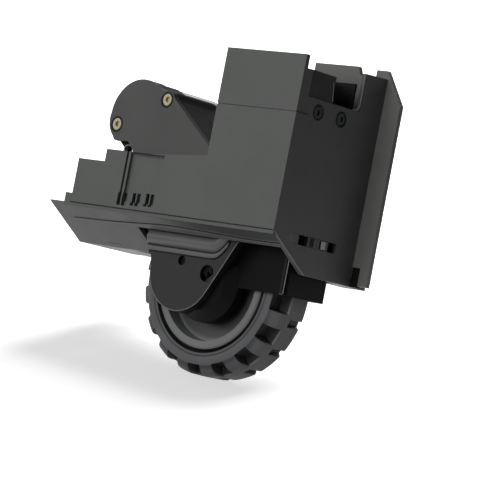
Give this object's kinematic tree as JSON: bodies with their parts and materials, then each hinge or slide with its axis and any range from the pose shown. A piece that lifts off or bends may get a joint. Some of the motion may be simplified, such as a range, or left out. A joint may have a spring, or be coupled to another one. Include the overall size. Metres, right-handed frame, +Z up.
{
  "type": "robot vacuum wheel module",
  "caption": "Drive wheel module of a robot vacuum: a stepped black wheel well with a sprung swing arm that carries a motor, a gear train and a treaded wheel.",
  "frame": {"origin": "midway between the two rear chassis screw holes, on the flat underside of the housing", "axes": "+X to the right along the outer wall, +Y inboard towards the robot's middle, +Z up"},
  "size_m": [0.1263, 0.062, 0.1282],
  "materials": {
    "housing_plastic": "fine satin moulded black ABS",
    "case_plastic": "satin moulded black nylon",
    "fender_plastic": "satin moulded black ABS",
    "rim_plastic": "satin moulded black nylon",
    "tyre_rubber": "matt dark grey rubber",
    "gear_plastic": "smooth black acetal",
    "screw_brass": "yellow passivated",
    "screw_black": "black zinc",
    "motor_steel": "bright nickel plated",
    "steel": "ground steel",
    "brass": "machined brass",
    "motor_cap_plastic": "moulded black",
    "board": "green solder mask",
    "magnet": "bonded ferrite",
    "connector_plastic": "moulded black",
    "latch_plastic": "smooth black acetal"
  },
  "bodies": {
    "housing": {"wheel_housing": "housing_plastic", "tower_cap": "housing_plastic", "rear_plate": "housing_plastic", "tower_screws": "screw_black", "rear_plate_screws": "screw_black", "connector_block": "connector_plastic", "connector_pins": "brass", "pivot_pin": "steel", "pivot_clip": "steel", "drop_switch": "motor_cap_plastic", "switch_screws": "screw_black", "drop_spring": "steel"},
    "arm": {"gear_case_inner": "case_plastic", "gear_case_outer": "case_plastic", "case_screws": "screw_brass", "gear_pin_1": "steel", "gear_pin_2": "steel", "gear_pin_3": "steel", "gear_pin_4": "steel", "wheel_fender": "fender_plastic", "fender_screws": "screw_black", "axle_bush": "brass", "axle_bearing": "steel", "motor_can": "motor_steel", "motor_end_cap": "motor_cap_plastic", "motor_terminals": "brass", "encoder_board": "board", "pivot_bushes": "brass"},
    "rotor": {"motor_shaft": "steel", "motor_pinion": "brass", "encoder_magnet": "magnet"},
    "gear_1": {"gear_1": "gear_plastic"},
    "gear_2": {"gear_2": "gear_plastic"},
    "gear_3": {"gear_3": "gear_plastic"},
    "gear_4": {"gear_4": "gear_plastic"},
    "wheel": {"wheel_rim": "rim_plastic", "tyre": "tyre_rubber", "drive_axle": "steel", "drive_gear": "gear_plastic", "axle_clip": "steel"},
    "lever": {"switch_lever": "gear_plastic"},
    "latch": {"side_latch": "latch_plastic", "latch_leaf": "steel"}
  },
  "joints": [
    {"name": "arm_swing", "type": "hinge", "parent": "housing", "child": "arm", "pos_m": [-0.041, -0.02, 0.0095], "axis": [0, -1, 0], "range_deg": [0, 25], "deforming": ["drop_spring"]},
    {"name": "wheel_spin", "type": "hinge", "parent": "arm", "child": "wheel", "pos_m": [0.012, -0.03, -0.0077], "axis": [0, 1, 0], "continuous": true},
    {"name": "rotor_spin", "type": "hinge", "parent": "arm", "child": "rotor", "pos_m": [-0.0257, -0.03, 0.0505], "axis": [0, 1, 0], "continuous": true},
    {"name": "gear_1_spin", "type": "hinge", "parent": "arm", "child": "gear_1", "pos_m": [-0.01246, -0.03, 0.04346], "axis": [0, 1, 0], "continuous": true},
    {"name": "gear_2_spin", "type": "hinge", "parent": "arm", "child": "gear_2", "pos_m": [-0.00526, -0.03, 0.03099], "axis": [0, 1, 0], "continuous": true},
    {"name": "gear_3_spin", "type": "hinge", "parent": "arm", "child": "gear_3", "pos_m": [0.00679, -0.03, 0.0273], "axis": [0, 1, 0], "continuous": true},
    {"name": "gear_4_spin", "type": "hinge", "parent": "arm", "child": "gear_4", "pos_m": [0.00802, -0.03, 0.00614], "axis": [0, 1, 0], "continuous": true},
    {"name": "lever_turn", "type": "hinge", "parent": "housing", "child": "lever", "pos_m": [-0.041, -0.012, 0.0285], "axis": [0, -1, 0], "range_deg": [-15, 0.5]},
    {"name": "latch_slide", "type": "slide", "parent": "housing", "child": "latch", "axis": [0, 1, 0], "range_m": [0, 0.003]}
  ],
  "couplings": [
    {"joint": "rotor_spin", "follows": "wheel_spin", "ratio": -102.86},
    {"joint": "gear_1_spin", "follows": "wheel_spin", "ratio": 25.714},
    {"joint": "gear_2_spin", "follows": "wheel_spin", "ratio": -10.588},
    {"joint": "gear_3_spin", "follows": "wheel_spin", "ratio": 4.2353},
    {"joint": "gear_4_spin", "follows": "wheel_spin", "ratio": -2},
    {"joint": "lever_turn", "follows": "arm_swing", "ratio": -0.58333}
  ]
}
